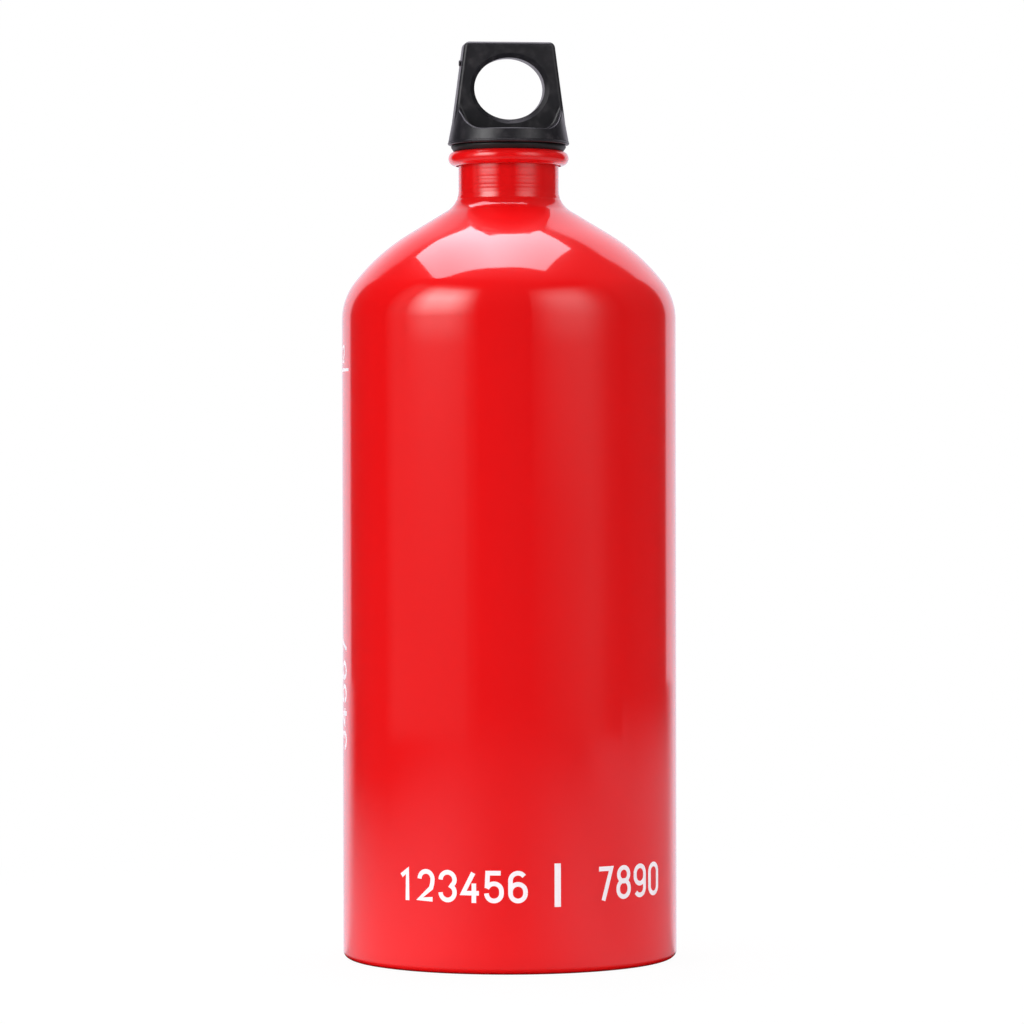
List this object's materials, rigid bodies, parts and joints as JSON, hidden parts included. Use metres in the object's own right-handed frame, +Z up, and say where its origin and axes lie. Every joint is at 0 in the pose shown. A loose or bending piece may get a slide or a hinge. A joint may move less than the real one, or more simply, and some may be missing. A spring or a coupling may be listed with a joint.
{
  "type": "camping fuel bottle",
  "caption": "Red painted aluminium fuel bottle with a domed shoulder, rolled lip, and a black screw cap with an oval carrying loop and rubber seal.",
  "frame": {"origin": "centre of the base, on the surface that the bottle stands on", "axes": "+Z up along the bottle's axis towards the cap; looking along +Y shows the front, with +X to the right"},
  "size_m": [0.1, 0.1, 0.2738],
  "materials": {
    "red_enamel_on_aluminium": "gloss",
    "black_rubber": "satin",
    "black_plastic": "satin"
  },
  "bodies": {
    "bottle": {"bottle_shell": "red_enamel_on_aluminium"},
    "seal": {"seal_ring": "black_rubber"},
    "cap": {"screw_cap": "black_plastic"}
  },
  "joints": [
    {"name": "cap_rise", "type": "slide", "parent": "bottle", "child": "seal", "axis": [0, 0, 1], "range_m": [0, 0.015]},
    {"name": "cap_turn", "type": "hinge", "parent": "seal", "child": "cap", "pos_m": [0, 0, 0.24312], "axis": [0, 0, 1], "range_deg": [0, 1350]}
  ],
  "couplings": [
    {"joint": "cap_rise", "follows": "cap_turn", "m_per_rad": 0.00063662}
  ]
}
